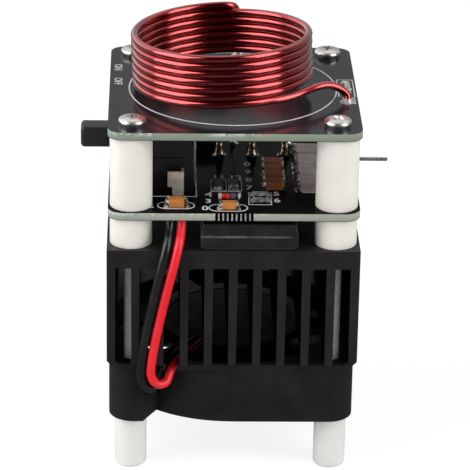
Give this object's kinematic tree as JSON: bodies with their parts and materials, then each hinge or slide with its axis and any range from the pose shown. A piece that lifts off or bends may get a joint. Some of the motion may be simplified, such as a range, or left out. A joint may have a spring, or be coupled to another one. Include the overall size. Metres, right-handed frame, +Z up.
{
  "type": "desktop resonant transformer",
  "caption": "Stacked bench resonant transformer: coil on a top board over a driver board, a heatsink with a cooling fan under it, and legs, with a slide switch and a barrel socket.",
  "frame": {"origin": "on the table under the centre of the stack of boards, which is the middle of the part without its free leads to within 0.6 mm", "axes": "+Z up along the long screws and the fan's axis; +X towards the side with the bare antenna pin, away from the socket and the switch; +Y towards the back"},
  "size_m": [0.063, 0.0531, 0.0882],
  "materials": {
    "tinned_metal": "tinned metal",
    "epoxy_black": "moulded black epoxy",
    "coil_enamel": "glossy deep red enamel over copper",
    "board_mask": "satin near-black solder mask on glass-fibre board",
    "bearing_bronze": "sintered bronze",
    "fan_plastic": "black fan plastic, fine satin",
    "label_paper": "dark satin label, blank",
    "lead_black": "black PVC insulation",
    "lead_red": "red PVC insulation",
    "fan_rotor_plastic": "black fan plastic, satin",
    "capacitor_grey": "grey-pink ceramic with tinned ends",
    "capacitor_orange": "orange-tan ceramic with tinned ends",
    "diode_glass": "glass with colour bands and tinned ends",
    "anodised_black": "matte black anodised extrusion",
    "socket_plastic": "black moulded plastic",
    "nylon_white": "warm white nylon, slightly translucent",
    "screw_steel": "bright nickel-plated steel",
    "small_board": "green motor board",
    "magnet_rubber": "bonded ferrite, matt",
    "shaft_steel": "ground steel",
    "resistor_black": "black glaze with tinned ends",
    "clip_plastic": "white nylon clip",
    "solder": "bright solder",
    "core_steel": "stacked laminations",
    "copper_wire": "enamelled copper",
    "switch_plastic": "black plastic",
    "switch_metal": "plated shell",
    "capacitor_brown": "brown ceramic with tinned ends",
    "pad_silicone": "grey silicone pad"
  },
  "bodies": {
    "chassis": {"antenna_pin": "tinned_metal", "clamp_diode_1": "epoxy_black", "clamp_diode_2": "epoxy_black", "coil_winding": "coil_enamel", "driver_board": "board_mask", "driver_chip": "epoxy_black", "fan_bearing": "bearing_bronze", "fan_frame": "fan_plastic", "fan_label": "label_paper", "fan_lead_black": "lead_black", "fan_lead_red": "lead_red", "filter_capacitor_1": "capacitor_grey", "filter_capacitor_2": "capacitor_grey", "filter_capacitor_3": "capacitor_grey", "filter_capacitor_4": "capacitor_grey", "gate_capacitor": "capacitor_orange", "glass_diode": "diode_glass", "heatsink": "anodised_black", "input_capacitor": "capacitor_orange", "input_choke": "epoxy_black", "jack_centre_pin": "tinned_metal", "jack_housing": "socket_plastic", "jack_side_contact": "tinned_metal", "leg_back_left": "nylon_white", "leg_back_right": "nylon_white", "leg_front_left": "nylon_white", "leg_front_right": "nylon_white", "link_pins": "tinned_metal", "long_screws": "screw_steel", "lower_spacer_back_left": "nylon_white", "lower_spacer_back_right": "nylon_white", "lower_spacer_front_left": "nylon_white", "lower_spacer_front_right": "nylon_white", "motor_board": "small_board", "power_transistor": "epoxy_black", "sense_resistor_1": "resistor_black", "sense_resistor_2": "resistor_black", "solder_joints": "solder", "stator_core": "core_steel", "stator_windings": "copper_wire", "switch_base": "switch_plastic", "switch_shell": "switch_metal", "switch_terminals": "tinned_metal", "tank_capacitor_1": "capacitor_brown", "tank_capacitor_2": "capacitor_brown", "tank_capacitor_3": "capacitor_brown", "tank_capacitor_4": "capacitor_brown", "thermal_pad": "pad_silicone", "top_board": "board_mask", "transistor_legs": "tinned_metal", "upper_spacer_back_left": "nylon_white", "upper_spacer_back_right": "nylon_white", "upper_spacer_front_left": "nylon_white", "upper_spacer_front_right": "nylon_white"},
    "rotor": {"fan_rotor": "fan_rotor_plastic", "rotor_magnet": "magnet_rubber", "rotor_shaft": "shaft_steel", "shaft_clip": "clip_plastic"},
    "knob": {"switch_knob": "switch_plastic"}
  },
  "joints": [
    {"name": "rotor_spin", "type": "hinge", "parent": "chassis", "child": "rotor", "pos_m": [0, 0, 0.0165], "axis": [0, 0, 1], "continuous": true},
    {"name": "switch_slide", "type": "slide", "parent": "chassis", "child": "knob", "axis": [0, 1, 0], "range_m": [0, 0.004]}
  ]
}
